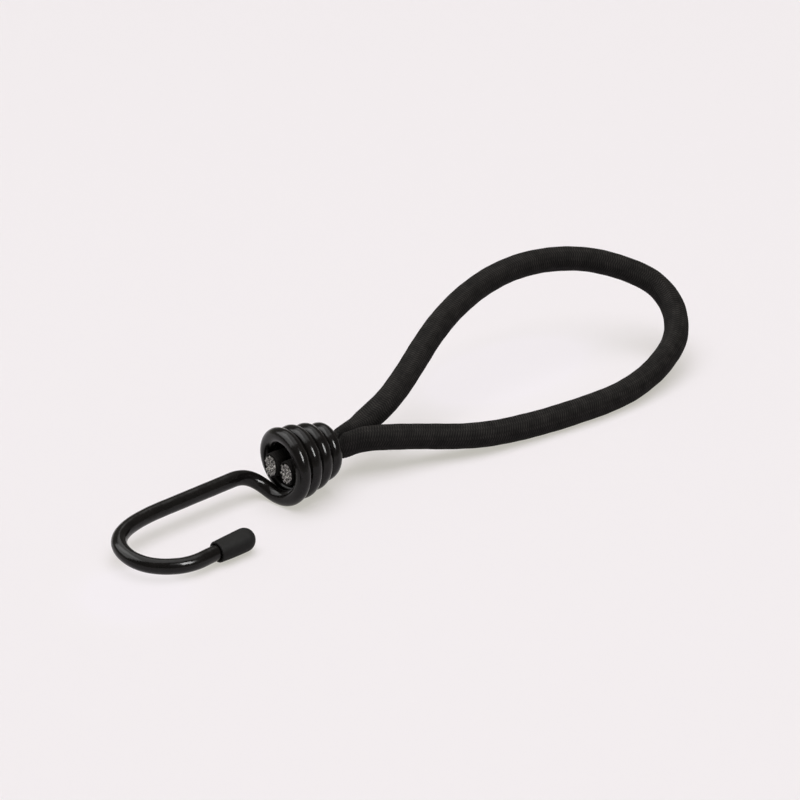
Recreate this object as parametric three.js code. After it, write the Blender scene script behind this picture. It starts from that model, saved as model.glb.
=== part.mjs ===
// Bungee cord: a braided elastic loop whose two ends are gripped in the tapered coil of a bent wire hook.
// Millimetres, +Z up. The origin is on the surface that the cord lies on, under the first turn of the coil.
// +X runs along the coil's axis from the hook to the loop, and -Y is the side of the hook's capped tip.

import * as THREE from 'three';

const { degToRad, lerp, clamp } = THREE.MathUtils;

// Coil of the hook wire
const WIRE_D = 4.9; // steel with its coating
const WIRE_SIDES = 12;
const COIL_MOUTH_R = 10.35; // coil axis to wire centre at the first turn
const COIL_TAPER = 0.41; // radius lost per turn at the mouth
const COIL_BARREL = 0.185; // and how much faster it is lost, with the square of the turns
const COIL_PITCH = 5.3;
const COIL_TURNS = 3.95;
const COIL_STEPS_PER_TURN = 24;
const REST_FLAT = 0.5; // depth of the flat under the first turn

// Hook
const HOOK_WIDTH = 27.75; // arm centre to tip centre
const HOOK_ROLL = degToRad(8); // lean of the hook, down towards its tip
const ARM_SIDE = 10.3; // arm centre beside the coil axis
const ARM_START = 11; // the straight arm begins this far in front of the first turn
const BEND_START = 39.6; // the arm runs into the bend this far in front of the first turn
const CROWN_REACH = 64.25; // wire centre at the crown of the bend
const TIP_STRAIGHT = 5.2; // straight wire between the bend and the cap
const ARM_HANDLE = 13.8; // how far the bend keeps the arm's direction
const CROWN_IN_HANDLE = 11; // and its direction at the crown, on the arm's side
const CROWN_OUT_HANDLE = 5.2; // and on the tip's side
const TIP_HANDLE = 14.7; // and the tip's direction
const BEND_STEPS = 8; // on each side of the crown
const SWEEP_COIL_HANDLE = 6; // how far the sweep from coil to arm keeps the coil's direction
const SWEEP_ARM_HANDLE = 9; // and the arm's
const SWEEP_STEPS = 10;

// Tip cap
const CAP_D = 7.6; // at its thickest, beside the dome
const CAP_RIM_D = 6.95; // at its open edge
const CAP_LENGTH = 14.6;
const CAP_REACH = 25.8; // rounded end of the cap in front of the first turn
const CAP_LIFT = 0.2; // cap over the surface that the coil rests on
const CAP_CROWN = 3.2; // thickness of the closed end
const CAP_DOME = 3.6; // length of its rounding
const CAP_EDGE = 0.3; // chamfer of the open edge
const CAP_CLEARANCE = 0.15; // round the wire
const CAP_SEAT = 0.3; // in front of the wire's cut end
const CAP_SIDES = 20;
const DOME_STEPS = 5;

// Cord
const CORD_D = 8.2; // a nominal 8 mm cord, slack
const CORD_SIDES = 12;
const SHEATH_WALL = 0.7;
const STRAND_RINGS = 2; // rings of rubber strands round the middle one
const STRANDS_PER_RING = 6; // in the first ring, and as many more in each ring outside it
const STRAND_SIDES = 4; // strands are square, as if cut from sheet
const STRAND_GAP = 0.09;
const STRAND_PROUD = 0.4; // strands stand out of the cut sheath

// Cord legs inside the coil
const LEG_END_X = -0.5; // cut end of the far leg
const LEG_STAGGER = 0.8; // the near leg is cut this much shorter
const LEG_DROP = 0.6; // legs lie this far below the axis at the mouth
const LEG_GAP = 0.3;
const LEG_CLEARANCE = 0.3; // between a leg and the wire of the coil
const MOUTH_FLATTEN = 0.77; // width of a leg in the mouth against the free cord
const MOUTH_STRETCH = 1.02; // height of a leg in the mouth against the free cord
const ROUND_FIT = 0.85; // share of the height that an oval leg finds in the round coil
const MOUTH_ROLL = degToRad(5); // slope of the pair of legs in the mouth
const BACK_ROLL = degToRad(6); // slope of the pair behind the coil
const LEG_BULGE = 0.2; // how much taller than the free cord a squeezed leg grows behind the coil
const TALL_X = 26.4; // it has grown from here on
const ROUND_X = 39.4; // and the cord is round from here on

// Clip that binds the two legs
const CLIP_X = 7;
const CLIP_WIRE_D = 1.4;
const CLIP_SIDES = 6;
const CLIP_STEPS = 32;
const CLIP_CLEARANCE = 0.25;
const CLIP_OPENING = 1; // between the two ends of the clip
const NECK_RAMP = 1.5; // length over which a leg narrows to the clip

// Centre line of the free cord, from the far leg round the loop to the near leg
const LOOP_ROUTE = [
  [26.4, 2.15, 12.3], [29.4, 2.6, 12.3], [35.4, 2.9, 12.9], [41.4, 3.25, 14.6], [47.1, 3.9, 16.3],
  [58.4, 7.5, 19.1], [69.2, 11.9, 22.4], [80, 16.5, 25.7], [91.1, 20.4, 28.7], [102.7, 23.3, 31.2],
  [114.6, 25, 33], [126.7, 25.2, 33.9], [138.7, 23.5, 33.7], [150.2, 19.8, 32.3], [155.6, 17.2, 31.1],
  [160.5, 14, 29.5], [164.9, 10.4, 27.6], [168.7, 6.2, 25.5], [171.4, 1.3, 23.1], [172.2, -4, 20.1],
  [170.9, -9.2, 17.1], [167.9, -13.7, 14.3], [163.8, -17.5, 11.8], [158.7, -20.3, 9.7], [153.1, -22.3, 8.1],
  [147.4, -23.9, 6.8], [141.5, -25, 5.8], [135.5, -25.7, 5], [123.4, -25.8, 4.2], [111.3, -24.7, 4.1],
  [99.2, -23, 4.1], [87.2, -21, 4.5], [75.4, -18.4, 5.3], [63.9, -14.5, 6.8], [52.9, -9.7, 8.8],
  [41.8, -6.2, 11.1], [35.4, -4.4, 12.2], [29.4, -2.85, 12.35], [26.4, -2.25, 12.05],
];

// Sizes that follow from the ones above
const WIRE_R = WIRE_D / 2;
const AXIS_Z = COIL_MOUTH_R + WIRE_R - REST_FLAT;
const COIL_END_X = COIL_PITCH * COIL_TURNS;
const COIL_BACK_X = COIL_END_X + WIRE_R;
const TIP_START = CAP_REACH + CAP_LENGTH + TIP_STRAIGHT;
const TIP_Z = CAP_D / 2 + CAP_LIFT;
const TIP_SIDE = ARM_SIDE - HOOK_WIDTH * Math.cos(HOOK_ROLL);
const ARM_Z = TIP_Z + HOOK_WIDTH * Math.sin(HOOK_ROLL);
const CORD_R = CORD_D / 2;
const BORE_R = CORD_R - SHEATH_WALL;
const BORE_FLAT_R = BORE_R * Math.cos(Math.PI / CORD_SIDES);
const STRAND_PITCH = (BORE_FLAT_R - STRAND_GAP) / (STRAND_RINGS + 0.5);
const STRAND_R = (STRAND_PITCH - STRAND_GAP) / 2;
const CLIP_WIRE_R = CLIP_WIRE_D / 2;
const NECK_HALF = CLIP_WIRE_R + CLIP_CLEARANCE;

const materials = {
  wire: new THREE.MeshStandardMaterial({ color: 0x0c0c0d, roughness: 0.25, metalness: 0.1 }),
  cap: new THREE.MeshStandardMaterial({ color: 0x262627, roughness: 0.7, metalness: 0 }),
  sheath: new THREE.MeshStandardMaterial({ color: 0x121213, roughness: 0.9, metalness: 0 }),
  rubber: new THREE.MeshStandardMaterial({ color: 0xdcd9d2, roughness: 0.8, metalness: 0 }),
  clip: new THREE.MeshStandardMaterial({ color: 0x8d9094, roughness: 0.35, metalness: 1 }),
};

function vector(x, y, z) {
  return new THREE.Vector3(x, y, z);
}

// Corners of a regular polygon, as pairs across the section; the first flat faces the side direction
function polygon(radius, sides) {
  return Array.from({ length: sides }, (_, k) => {
    const angle = (2 * Math.PI * (k + 0.5)) / sides;
    return [radius * Math.cos(angle), radius * Math.sin(angle)];
  });
}

// Direction of a path of points at one of them
function direction(points, i) {
  const before = points[Math.max(i - 1, 0)];
  const after = points[Math.min(i + 1, points.length - 1)];
  return after.clone().sub(before).normalize();
}

// Stations along a path, each with a side and an up direction square to it, carried on without twist
function carriedStations(points, firstSide) {
  let side = firstSide;
  return points.map((centre, i) => {
    const along = direction(points, i);
    side = side.clone().addScaledVector(along, -side.dot(along)).normalize();
    return { centre, side, up: along.clone().cross(side) };
  });
}

// A section's corners at a station
function ring(station, corners) {
  return corners.map(([across, up]) => station.centre.clone()
    .addScaledVector(station.side, across)
    .addScaledVector(station.up, up));
}

function surface(points, index) {
  const geometry = new THREE.BufferGeometry();
  geometry.setFromPoints(points);
  geometry.setIndex(index);
  geometry.computeVertexNormals();
  return geometry;
}

function quad(a, b, c, d) {
  return [a, b, c, a, c, d];
}

// Side faces of a tube through rings of equal count, the first of which starts at a given vertex
function tubeSides(ringCount, sides, first) {
  const index = [];
  for (let i = 0; i + 1 < ringCount; i += 1) {
    for (let k = 0; k < sides; k += 1) {
      const here = first + i * sides;
      const there = here + sides;
      const next = (k + 1) % sides;
      index.push(...quad(here + k, here + next, there + next, there + k));
    }
  }
  return index;
}

// A solid bar through rings of equal count
function bar(rings) {
  const sides = rings[0].length;
  const last = (rings.length - 1) * sides;
  const index = tubeSides(rings.length, sides, 0);
  for (let k = 1; k + 1 < sides; k += 1) {
    index.push(0, k + 1, k, last, last + k, last + k + 1);
  }
  return surface(rings.flat(), index);
}

// A tube with a bore, open at both ends
function pipe(outer, inner) {
  const sides = outer[0].length;
  const bore = outer.length * sides;
  const last = (outer.length - 1) * sides;
  const index = tubeSides(outer.length, sides, 0);
  index.push(...tubeSides(inner.length, sides, bore).reverse());
  for (let k = 0; k < sides; k += 1) {
    const next = (k + 1) % sides;
    index.push(...quad(k, bore + k, bore + next, next));
    index.push(...quad(last + k, last + next, bore + last + next, bore + last + k));
  }
  return surface([...outer, ...inner].flat(), index);
}

function coilRadius(turns) {
  return COIL_MOUTH_R - COIL_TAPER * turns - COIL_BARREL * turns ** 2;
}

// Wire centre in the coil: from under the axis up the near side, and back by one pitch in each turn
function coilPoint(turns) {
  const angle = 2 * Math.PI * turns;
  const radius = coilRadius(turns);
  return vector(COIL_PITCH * turns, -radius * Math.sin(angle), AXIS_Z - radius * Math.cos(angle));
}

// Wire centre from the back of the coil to the tip: coil, sweep, straight arm, both halves of the bend, tip
function wirePoints() {
  const coilSteps = Math.round(COIL_TURNS * COIL_STEPS_PER_TURN);
  const coil = Array.from({ length: coilSteps + 1 }, (_, i) => coilPoint(COIL_TURNS * (1 - i / coilSteps)));
  const coilFront = coilPoint(0);
  const leaveCoil = coilFront.clone().sub(coilPoint(0.01)).setLength(SWEEP_COIL_HANDLE);
  const armStart = vector(-ARM_START, ARM_SIDE, ARM_Z);
  const sweep = new THREE.CubicBezierCurve3(
    coilFront,
    coilFront.clone().add(leaveCoil),
    armStart.clone().add(vector(SWEEP_ARM_HANDLE, 0, 0)),
    armStart,
  );
  const across = vector(0, -Math.cos(HOOK_ROLL), -Math.sin(HOOK_ROLL));
  const inHook = (reach, side) => vector(-reach, ARM_SIDE, ARM_Z).addScaledVector(across, side);
  const crown = inHook(CROWN_REACH, HOOK_WIDTH / 2);
  const armToCrown = new THREE.CubicBezierCurve3(
    inHook(BEND_START, 0),
    inHook(BEND_START + ARM_HANDLE, 0),
    inHook(CROWN_REACH, HOOK_WIDTH / 2 - CROWN_IN_HANDLE),
    crown,
  );
  const crownToTip = new THREE.CubicBezierCurve3(
    crown,
    inHook(CROWN_REACH, HOOK_WIDTH / 2 + CROWN_OUT_HANDLE),
    inHook(TIP_START + TIP_HANDLE, HOOK_WIDTH),
    inHook(TIP_START, HOOK_WIDTH),
  );
  const tipEnd = inHook(CAP_REACH + CAP_CROWN + CAP_SEAT, HOOK_WIDTH);
  return [
    ...coil, ...sweep.getPoints(SWEEP_STEPS).slice(1), ...armToCrown.getPoints(BEND_STEPS),
    ...crownToTip.getPoints(BEND_STEPS).slice(1), tipEnd,
  ];
}

function hookWire() {
  const points = wirePoints();
  const corners = polygon(WIRE_R, WIRE_SIDES);
  const rings = carriedStations(points, vector(1, 0, 0)).map((station) => ring(station, corners));
  rings.flat().forEach((corner) => corner.setZ(Math.max(corner.z, 0)));
  return bar(rings);
}

// Least gap between turns of the coil, from points along its centre line that lie over half a turn apart
function leastTurnGap() {
  const pointsPerTurn = 96;
  const count = Math.floor(COIL_TURNS * pointsPerTurn);
  const points = Array.from({ length: count + 1 }, (_, i) => coilPoint(i / pointsPerTurn));
  let least = Infinity;
  points.forEach((point, i) => {
    points.slice(i + pointsPerTurn / 2).forEach((other) => {
      least = Math.min(least, point.distanceTo(other));
    });
  });
  return least - WIRE_D;
}

// Cap profile from the bottom of its bore, round the open edge, to the top of its dome
function tipCap() {
  const outerR = CAP_D / 2;
  const rimR = CAP_RIM_D / 2;
  const boreR = WIRE_R + CAP_CLEARANCE;
  const profile = [
    [0, CAP_LENGTH - CAP_CROWN], [boreR, CAP_LENGTH - CAP_CROWN], [boreR, 0],
    [rimR - CAP_EDGE, 0], [rimR, CAP_EDGE],
  ];
  for (let i = 0; i <= DOME_STEPS; i += 1) {
    const angle = (Math.PI / 2) * (i / DOME_STEPS);
    const radius = i === DOME_STEPS ? 0 : outerR * Math.cos(angle);
    profile.push([radius, CAP_LENGTH - CAP_DOME + CAP_DOME * Math.sin(angle)]);
  }
  return new THREE.LatheGeometry(profile.map(([r, h]) => new THREE.Vector2(r, h)), CAP_SIDES);
}

// Clear radius inside the coil at x, at the tightest point of the turn there
function coilRoom(x) {
  const turns = clamp(x / COIL_PITCH + 0.5, 0, COIL_TURNS);
  return coilRadius(turns) - WIRE_R - LEG_CLEARANCE;
}

// Half width, half height and side offset of a leg that shares a round room with its twin
function legInRoom(room) {
  const width = Math.min(MOUTH_FLATTEN * CORD_R, (room - LEG_GAP / 2) / 2);
  const offset = width + LEG_GAP / 2;
  const height = Math.min(MOUTH_STRETCH * CORD_R, ROUND_FIT * Math.sqrt(room ** 2 - offset ** 2));
  return { width, height, offset };
}

// A leg at x inside the coil, narrowed where the clip binds it
function legAt(x) {
  const inClip = Math.abs(x - CLIP_X) < NECK_HALF + NECK_RAMP / 2;
  return legInRoom(coilRoom(x) - (inClip ? CLIP_WIRE_D + 2 * CLIP_CLEARANCE : 0));
}

// Middle of the pair of legs at x inside the coil, and the pair's slope there
function pairAt(x) {
  const share = clamp(x / COIL_END_X, 0, 1);
  const centre = vector(x, 0, AXIS_Z - lerp(LEG_DROP, 0, share));
  const roll = lerp(MOUTH_ROLL, BACK_ROLL, share);
  return { centre, across: vector(0, Math.cos(roll), Math.sin(roll)) };
}

// Stations of one leg from its cut end to the back of the coil; hand is 1 for the far leg, -1 for the near
function legStations(endX, hand) {
  const neck = [-NECK_HALF - NECK_RAMP, -NECK_HALF, NECK_HALF, NECK_HALF + NECK_RAMP];
  const behindClip = CLIP_X + neck[3];
  const xs = [
    endX, ...neck.map((step) => CLIP_X + step),
    lerp(behindClip, COIL_BACK_X, 1 / 3), lerp(behindClip, COIL_BACK_X, 2 / 3), COIL_BACK_X,
  ];
  return xs.map((x) => {
    const { width, height, offset } = legAt(x);
    const { centre, across } = pairAt(x);
    const side = across.clone().multiplyScalar(hand);
    return { centre: centre.clone().addScaledVector(side, offset), side, width, height };
  });
}

// Stations of the free cord: round, and growing from the squeezed legs behind the coil, where each leg has
// half of the room between its own centre line and its twin's
function loopStations() {
  const squeezed = legAt(COIL_BACK_X);
  const points = LOOP_ROUTE.map(([x, y, z]) => vector(x, y, z));
  const loopUp = vector(0, -Math.sin(BACK_ROLL), Math.cos(BACK_ROLL));
  return points.map((centre, i) => {
    const wider = clamp((centre.x - COIL_BACK_X) / (ROUND_X - COIL_BACK_X), 0, 1);
    const taller = clamp((centre.x - COIL_BACK_X) / (TALL_X - COIL_BACK_X), 0, 1);
    const room = centre.x < ROUND_X ? (centre.distanceTo(points.at(-1 - i)) - LEG_GAP) / 2 : CORD_R;
    const side = loopUp.clone().cross(direction(points, i)).normalize();
    return {
      centre,
      side,
      width: Math.min(lerp(squeezed.width, CORD_R, wider), room),
      height: lerp(squeezed.height, CORD_R * (1 + LEG_BULGE * (1 - wider)), taller),
    };
  });
}

// All stations of the cord, from the far leg's cut end to the near leg's; proud lengthens both ends
function cordStations(proud) {
  const far = legStations(LEG_END_X, 1);
  const near = legStations(LEG_END_X + LEG_STAGGER, -1).reverse();
  far[0].centre.x -= proud;
  near[near.length - 1].centre.x -= proud;
  const stations = [...far, ...loopStations(), ...near];
  const points = stations.map((station) => station.centre);
  return stations.map((station, i) => {
    const along = direction(points, i);
    const side = station.side.clone().addScaledVector(along, -station.side.dot(along)).normalize();
    return { ...station, side, up: along.clone().cross(side) };
  });
}

// Rings of a section that is drawn on the round cord and squeezed with it
function cordRings(stations, corners) {
  return stations.map((station) => ring(station, corners.map(([across, up]) => [
    (across * station.width) / CORD_R,
    (up * station.height) / CORD_R,
  ])));
}

function cordSheath() {
  const stations = cordStations(0);
  return pipe(
    cordRings(stations, polygon(CORD_R, CORD_SIDES)),
    cordRings(stations, polygon(BORE_R, CORD_SIDES)),
  );
}

// Places of the rubber strands in the round cord: one in the middle and rings about it
function strandPlaces() {
  const places = [[0, 0]];
  for (let row = 1; row <= STRAND_RINGS; row += 1) {
    places.push(...polygon(row * STRAND_PITCH, row * STRANDS_PER_RING));
  }
  return places;
}

function rubberStrand([across, up]) {
  const corners = polygon(STRAND_R, STRAND_SIDES).map(([a, b]) => [a + across, b + up]);
  return bar(cordRings(cordStations(STRAND_PROUD), corners));
}

// Open ring of wire round both legs: half an oval beyond each leg, with straight runs between
function endClip() {
  const { width, height, offset } = legAt(CLIP_X);
  const { centre, across } = pairAt(CLIP_X);
  const reach = CLIP_CLEARANCE + CLIP_WIRE_R;
  const up = vector(1, 0, 0).cross(across);
  const openAngle = Math.atan2(CLIP_OPENING / 2 + CLIP_WIRE_R, offset + height + reach);
  const points = Array.from({ length: CLIP_STEPS + 1 }, (_, i) => {
    const angle = lerp(openAngle, 2 * Math.PI - openAngle, i / CLIP_STEPS) + Math.PI / 2;
    const sideShift = offset * clamp(2 * Math.cos(angle), -1, 1);
    return centre.clone()
      .addScaledVector(across, sideShift + (width + reach) * Math.cos(angle))
      .addScaledVector(up, (height + reach) * Math.sin(angle));
  });
  const corners = polygon(CLIP_WIRE_R, CLIP_SIDES);
  return bar(carriedStations(points, vector(1, 0, 0)).map((station) => ring(station, corners)));
}

function piece(name, geometry, material) {
  const mesh = new THREE.Mesh(geometry, material);
  mesh.name = name;
  return mesh;
}

function hookGroup() {
  const hook = new THREE.Group();
  const cap = piece('tip_cap', tipCap(), materials.cap);
  cap.position.set(-CAP_REACH - CAP_LENGTH, TIP_SIDE, TIP_Z);
  cap.rotation.z = -Math.PI / 2;
  hook.add(piece('hook_wire', hookWire(), materials.wire), cap);
  return hook;
}

function cordGroup() {
  const cord = new THREE.Group();
  cord.add(piece('cord_sheath', cordSheath(), materials.sheath));
  strandPlaces().forEach((place, i) => {
    const number = String(i + 1).padStart(2, '0');
    cord.add(piece(`rubber_strand_${number}`, rubberStrand(place), materials.rubber));
  });
  cord.add(piece('end_clip', endClip(), materials.clip));
  return cord;
}

console.log(`least gap between turns of the coil: ${leastTurnGap().toFixed(2)} mm`);

const bungeeCord = new THREE.Group();
bungeeCord.add(hookGroup(), cordGroup());

export default bungeeCord;
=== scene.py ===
"""Bungee cord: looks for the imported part, laid out as a Blender add-on.

A braided elastic loop is gripped in the coil of a coated wire hook. Metres, +Z up, in the part's frame:
+X runs along the coil's axis from the hook to the loop, and -Y is the side of the hook's capped tip.
"""

import math

import bpy
import numpy as np
from mathutils import Matrix, Vector


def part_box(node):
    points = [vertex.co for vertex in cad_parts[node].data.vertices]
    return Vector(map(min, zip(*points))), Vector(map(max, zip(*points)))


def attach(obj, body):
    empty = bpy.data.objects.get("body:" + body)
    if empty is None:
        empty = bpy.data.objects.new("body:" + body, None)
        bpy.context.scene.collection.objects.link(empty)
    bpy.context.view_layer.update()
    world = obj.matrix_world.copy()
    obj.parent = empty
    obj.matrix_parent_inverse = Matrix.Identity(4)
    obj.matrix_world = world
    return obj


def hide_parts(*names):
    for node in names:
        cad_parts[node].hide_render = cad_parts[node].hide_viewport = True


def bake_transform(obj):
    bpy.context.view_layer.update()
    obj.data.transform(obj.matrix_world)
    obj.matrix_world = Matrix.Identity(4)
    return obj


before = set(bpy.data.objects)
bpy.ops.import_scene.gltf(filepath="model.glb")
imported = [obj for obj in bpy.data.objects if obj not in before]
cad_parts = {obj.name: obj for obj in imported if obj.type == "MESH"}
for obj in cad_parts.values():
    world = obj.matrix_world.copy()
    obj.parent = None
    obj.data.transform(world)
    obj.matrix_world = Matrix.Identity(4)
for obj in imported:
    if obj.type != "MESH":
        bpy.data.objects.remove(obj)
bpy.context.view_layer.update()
CAP_LOW, CAP_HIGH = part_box("tip_cap")
STRAND_NODES = sorted(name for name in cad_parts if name.startswith("rubber_strand_"))

bl_info = {
    "name": "Bungee cord",
    "version": (1, 0, 0),
    "blender": (4, 5, 0),
    "location": "3D view > Sidebar > Bungee cord",
    "description": "Builds a braided elastic loop with a coated coil hook",
    "category": "Object",
}

# Centre line of the free cord, from the far leg round the loop to the near leg
LOOP_ROUTE = np.array([
    (0.0264, 0.00215, 0.01195), (0.0294, 0.0026, 0.01205), (0.0354, 0.0029, 0.0128),
    (0.0414, 0.00325, 0.0146), (0.0471, 0.0039, 0.0163), (0.0584, 0.0075, 0.0191),
    (0.0692, 0.0119, 0.0224), (0.08, 0.0165, 0.0257), (0.0911, 0.0204, 0.0287),
    (0.1027, 0.0233, 0.0312), (0.1146, 0.025, 0.033), (0.1267, 0.0252, 0.0339),
    (0.1387, 0.0235, 0.0337), (0.1502, 0.0198, 0.0323), (0.1556, 0.0172, 0.0311),
    (0.1605, 0.014, 0.0295), (0.1649, 0.0104, 0.0276), (0.1687, 0.0062, 0.0255),
    (0.1714, 0.0013, 0.0231), (0.1722, -0.004, 0.0201), (0.1709, -0.0092, 0.0171),
    (0.1679, -0.0137, 0.0143), (0.1638, -0.0175, 0.0118), (0.1587, -0.0203, 0.0097),
    (0.1531, -0.0223, 0.0081), (0.1474, -0.0239, 0.0068), (0.1415, -0.025, 0.0058),
    (0.1355, -0.0257, 0.005), (0.1234, -0.0258, 0.0042), (0.1113, -0.0247, 0.0041),
    (0.0992, -0.023, 0.0041), (0.0872, -0.021, 0.0045), (0.0754, -0.0184, 0.0053),
    (0.0639, -0.0145, 0.0068), (0.0529, -0.0097, 0.0088), (0.0418, -0.0062, 0.0111),
    (0.0354, -0.0044, 0.0122), (0.0294, -0.00285, 0.01235), (0.0264, -0.00225, 0.01205),
])

# Fine steps along the runs of the wire, before sections are spread along it
COIL_STEPS, SWEEP_STEPS, ARM_STEPS, BEND_STEPS, TIP_STEPS = 2400, 240, 160, 400, 120

# Heights of the braid, from 0 to 1: where the cord keeps its own radius, and where no braid is shaped
BRAID_LEVEL = 0.3
PLAIN_LEVEL = 0.6

# Worn edge of a cut strand: places along the edge, and the strand's width there
WORN_EDGE = np.array([(0.0, 0.35), (0.02, 0.72), (0.12, 0.88), (0.45, 0.97), (1.0, 1.0)])

# How much the cuts of the strands vary: length at both ends, slant across and slant up
CUT_SPREAD = [0.9, 0.9, 0.35, 0.35]
CUT_SEED = 19

# Painted light on the floor in the loop and in front of the bend, which washes out the object's shadow
# there: middle and reach of an oval, and height where it is full
LOOP_PAINTED_LIGHT = ((0.119, 0.019), (0.077, 0.042))
BEND_PAINTED_LIGHT = ((-0.071, -0.015), (0.036, 0.036))
PAINTED_LIGHT_FULL = 0.35

# Point that the lamps face
LAMP_AIM = Vector((0.03, 0.0, 0.01))

# Framing: widths of the picture in pixels and of the sensor in millimetres, and how many pixels the coil's
# mouth falls left of the picture's middle and below it
PICTURE_WIDTH = 800
SENSOR_WIDTH = 36.0
MOUTH_LEFT = 120
MOUTH_BELOW = 67.7


# Settings

def length(name, description, default):
    """A size in metres."""
    return bpy.props.FloatProperty(
        name=name, description=description, default=default, min=0.0, precision=5, unit="LENGTH")


def position(name, description, default):
    """A place along an axis, in metres."""
    return bpy.props.FloatProperty(
        name=name, description=description, default=default, precision=5, unit="LENGTH")


def angle(name, description, degrees):
    """An angle, given in degrees and kept in radians."""
    return bpy.props.FloatProperty(
        name=name, description=description, default=math.radians(degrees), subtype="ANGLE")


def share(name, description, default):
    """A share of something, from 0 to 1 or a little over."""
    return bpy.props.FloatProperty(
        name=name, description=description, default=default, min=0.0, max=2.0, subtype="FACTOR")


def colour(name, description, default):
    """A linear colour."""
    return bpy.props.FloatVectorProperty(
        name=name, description=description, default=default, size=3, min=0.0, max=1.0, subtype="COLOR")


def settings_of(kind, name, description):
    """A group of settings."""
    return bpy.props.PointerProperty(type=kind, name=name, description=description)


class HookSettings(bpy.types.PropertyGroup):
    """Coated wire: coil, arm and bend"""
    wire_diameter: length("Wire", "Diameter of the steel wire with its coating", 0.00502)
    mouth_radius: length("Mouth radius", "Coil axis to wire centre at the first turn", 0.01035)
    taper: length("Taper", "Radius lost per turn at the mouth", 0.00041)
    barrel: length("Barrel", "How much faster the radius is lost, with the square of the turns", 0.000185)
    pitch: length("Pitch", "Advance of the coil per turn", 0.0053)
    turns: bpy.props.FloatProperty(name="Turns", description="Turns of the coil", default=3.95, min=1.0)
    rest_flat: length("Rest flat", "Depth of the flat under the first turn", 0.00056)
    width: length("Hook width", "Arm centre to tip centre", 0.02775)
    roll: angle("Hook roll", "Lean of the hook, down towards its tip", 8)
    arm_side: length("Arm side", "Arm centre beside the coil axis", 0.0103)
    arm_start: length("Arm start", "The straight arm begins this far in front of the first turn", 0.011)
    bend_start: length("Bend start", "The bend begins this far in front of the first turn", 0.0396)
    crown_reach: length("Crown reach", "Wire centre at the crown of the bend", 0.06425)
    tip_straight: length("Tip straight", "Straight wire between the bend and the cap", 0.0052)
    arm_handle: length("Arm handle", "How far the bend keeps the arm's direction", 0.0138)
    crown_in: length("Crown in", "How far it keeps its direction at the crown, on the arm's side", 0.011)
    crown_out: length("Crown out", "How far it keeps its direction at the crown, on the tip's side", 0.0052)
    tip_handle: length("Tip handle", "How far the bend keeps the tip's direction", 0.0147)
    sway: length("Sway", "How far the wire swings out of the hook before the cap", 0.0005)
    sway_place: length("Sway place", "The swing is widest this far before the cap", 0.0095)
    sway_reach: length("Sway reach", "Half the length of the swing", 0.0115)
    tip_lift: length("Tip lift", "How far the tip and its cap rise over the length of the cap", 0.0004)
    tip_cover: length("Tip cover", "From the wire's cut end to the closed end of the cap", 0.0036)
    sweep_coil: length("Sweep from coil", "How far the sweep keeps the coil's direction", 0.006)
    sweep_arm: length("Sweep to arm", "How far the sweep keeps the arm's direction", 0.009)
    end_rounding: length("End rounding", "Radius of the coated edge at the cut end of the wire", 0.0008)
    ripple: length("Ripple", "Unevenness of the coating", 0.00002)
    coating: colour("Coating", "Colour of the coating", (0.0066, 0.0059, 0.0054))


class CapSettings(bpy.types.PropertyGroup):
    """Soft cap on the tip of the hook"""
    rim_diameter: length("Rim", "Diameter at the open edge", 0.00695)
    crown: length("Crown", "Thickness of the closed end", 0.0032)
    dome: length("Dome", "Length of the rounded end", 0.0036)
    edge: length("Edge", "Rounding of the open edge", 0.0003)
    clearance: length("Clearance", "Room between the cap and the wire", 0.00015)
    vinyl: colour("Vinyl", "Colour of the cap", (0.0108, 0.0104, 0.0098))


class CordSettings(bpy.types.PropertyGroup):
    """Braided elastic cord"""
    diameter: length("Cord", "Diameter of the slack cord", 0.0082)
    wall: length("Sheath wall", "Thickness of the braided sheath", 0.0007)
    carriers: bpy.props.IntProperty(name="Carriers", description="Yarns in the braid", default=16, min=4)
    pick: length("Pick", "Distance along the cord from one yarn to the next", 0.00088)
    relief: length("Relief", "Depth of the gaps between the yarns", 0.0002)
    end_x: position("Leg end", "Cut end of the far leg along the coil's axis", -0.0005)
    stagger: length("Stagger", "The near leg is cut this much shorter", 0.0008)
    drop: length("Drop", "The legs lie this far below the axis in the mouth", 0.0006)
    gap: length("Gap", "Room between the two legs", 0.0003)
    clearance: length("Leg clearance", "Room between a leg and the wire of the coil", 0.0003)
    flatten: share("Flatten", "Width of a leg in the mouth against the free cord", 0.77)
    stretch: share("Stretch", "Height of a leg in the mouth against the free cord", 1.02)
    round_fit: share("Round fit", "Share of the height that an oval leg finds in the round coil", 0.85)
    mouth_roll: angle("Mouth roll", "Slope of the pair of legs in the mouth", 5)
    back_roll: angle("Back roll", "Slope of the pair of legs behind the coil", 6)
    bulge: share("Bulge", "How much taller than the free cord a squeezed leg grows behind the coil", 0.15)
    tall_x: position("Tall from", "A leg has grown tall from here on", 0.0256)
    round_x: position("Round from", "The cord is round from here on", 0.0394)
    mouth_end: length("Mouth end", "Length of a leg's end that shows in the mouth", 0.004)
    hidden: length("Hidden", "Length of a leg from its end to the back of the coil, which hides it", 0.024)
    yarn: colour("Yarn", "Colour of the braid on its crests", (0.0245, 0.0222, 0.0205))


class StrandSettings(bpy.types.PropertyGroup):
    """Rubber strands inside the braid"""
    rings: bpy.props.IntProperty(
        name="Rings", description="Rings of strands round the middle one", default=2, min=1)
    pitch: length("Strand pitch", "Distance between neighbouring strands", 0.001278)
    radius: length("Strand radius", "Half the width of a strand", 0.00058)
    proud: length("Proud", "The strands stand out of the cut sheath", 0.0004)
    uneven: length("Uneven", "How unevenly the strands are cut", 0.00035)
    flare: share("Flare", "How far the cut strands spread out of the sheath", 0.14)
    settle: length("Settle", "The strands stop spreading this far inside the sheath", 0.0003)
    worn: length("Worn edge", "Length of the worn edge of a cut strand", 0.00016)
    rubber: colour("Rubber", "Colour of the strands", (0.88, 0.86, 0.8))


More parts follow.
